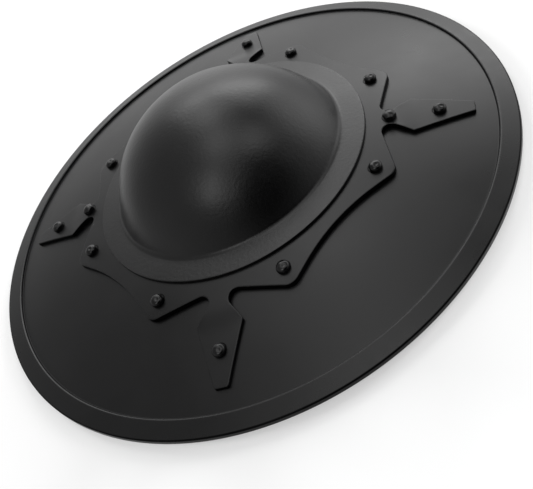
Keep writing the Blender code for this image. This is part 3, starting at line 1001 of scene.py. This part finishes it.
def make_world():
    world = bpy.data.worlds.new("studio")
    bpy.context.scene.world = world
    world.use_nodes = True
    nodes = world.node_tree.nodes
    links = world.node_tree.links

    def calculate(kind, *values):
        node = nodes.new("ShaderNodeMath")
        node.operation = kind
        for i, value in enumerate(values):
            if isinstance(value, bpy.types.NodeSocket):
                links.new(value, node.inputs[i])
            else:
                node.inputs[i].default_value = value
        return node.outputs[0]

    where = nodes.new("ShaderNodeTexCoord").outputs["Generated"]
    total = ROOM_RADIANCE
    for azimuth, elevation, half_width, radiance in SOFT_LIGHTS:
        facing = nodes.new("ShaderNodeVectorMath")
        facing.operation = "DOT_PRODUCT"
        facing.inputs[1].default_value = direction(azimuth, elevation)
        links.new(where, facing.inputs[0])
        sharpness = math.log(2) / (1 - math.cos(math.radians(half_width)))
        falloff = calculate("MULTIPLY_ADD", facing.outputs["Value"], sharpness, -sharpness)
        total = calculate("MULTIPLY_ADD", calculate("EXPONENT", falloff), radiance, total)
    background = nodes["Background"]
    background.inputs["Color"].default_value = WHITE
    links.new(calculate("MAXIMUM", total, 0.0), background.inputs["Strength"])


def make_floor():
    nodes = Nodes("pale_floor")
    nodes.shader.inputs["Base Color"].default_value = FLOOR_COLOUR
    nodes.shader.inputs["Emission Color"].default_value = WHITE
    nodes.shader.inputs["Emission Strength"].default_value = FLOOR_GLOW
    nodes.shader.inputs["Roughness"].default_value = FLOOR_ROUGHNESS
    mesh = bpy.data.meshes.new("floor")
    shape = bmesh.new()
    level = Matrix.Translation((0.0, 0.0, FLOOR_HEIGHT))
    bmesh.ops.create_grid(shape, x_segments=1, y_segments=1, size=FLOOR_HALF, matrix=level)
    shape.to_mesh(mesh)
    shape.free()
    mesh.materials.append(nodes.material)
    floor = bpy.data.objects.new("floor", mesh)
    floor.visible_glossy = False
    bpy.context.scene.collection.objects.link(floor)


# Camera. Its focal length and centre are those of the photo, in pixels of its 533 by 489 frame.

PHOTO_WIDTH = 533
PHOTO_HEIGHT = 489
FOCAL_PIXELS = 872.41
CENTRE_X = 308.99
CENTRE_Y = 225.84
SENSOR_WIDTH = 36.0
CAMERA_PLACE = Vector((0.20180, -0.39852, 0.35643))
CAMERA_AZIMUTH = -65.855
CAMERA_ELEVATION = 42.937
CAMERA_ROLL = math.radians(32.753)


def make_camera():
    data = bpy.data.cameras.new("photo_camera")
    data.sensor_fit = "HORIZONTAL"
    data.sensor_width = SENSOR_WIDTH
    data.lens = FOCAL_PIXELS / PHOTO_WIDTH * SENSOR_WIDTH
    data.shift_x = (PHOTO_WIDTH / 2 - CENTRE_X) / PHOTO_WIDTH
    data.shift_y = (CENTRE_Y - PHOTO_HEIGHT / 2) / PHOTO_WIDTH
    backward = direction(CAMERA_AZIMUTH, CAMERA_ELEVATION)
    level_right = Vector((-backward.y, backward.x, 0.0)).normalized()
    level_up = backward.cross(level_right)
    right = level_right * math.cos(CAMERA_ROLL) - level_up * math.sin(CAMERA_ROLL)
    up = level_up * math.cos(CAMERA_ROLL) + level_right * math.sin(CAMERA_ROLL)
    camera = bpy.data.objects.new("photo_camera", data)
    turn = Matrix((right, up, backward)).transposed().to_4x4()
    camera.matrix_world = Matrix.Translation(CAMERA_PLACE) @ turn
    bpy.context.scene.collection.objects.link(camera)
    bpy.context.scene.camera = camera


def main():
    make_camera()
    make_world()
    make_lights()
    make_floor()
    bpy.context.scene.view_settings.view_transform = "Standard"
    # The disc and plate coats darken their walls and the heads' feet with painted shade
    make_disc(satin_coat("disc_coat", SHEET_COLOUR, SHEET_ROUGHNESS, painted_wall_shade=True))
    make_plate(satin_coat("plate_coat", SHEET_COLOUR, SHEET_ROUGHNESS, painted_wall_shade=True))
    boss_coat = satin_coat("boss_coat", BOSS_COLOUR, SHEET_ROUGHNESS, mottle=BOSS_MOTTLE)
    boss_coat.node_tree.nodes["Principled BSDF"].inputs["IOR"].default_value = BOSS_IOR
    make_boss(boss_coat)
    rivet_coat = satin_coat("rivet_coat", SHEET_COLOUR, HEAD_ROUGHNESS, HEAD_GRAIN)
    for number, (node, seat) in enumerate(RIVET_SEATS.items()):
        make_rivet(node, seat, number, rivet_coat)
    bolt_coat = satin_coat("bolt_coat", SHEET_COLOUR, HEAD_ROUGHNESS, HEAD_GRAIN)
    for node, seat in BOLT_SEATS.items():
        make_bolt(node, seat, bolt_coat)
    make_grip(satin_coat("grip_plastic", GRIP_COLOUR, GRIP_ROUGHNESS, GRIP_GRAIN))


main()
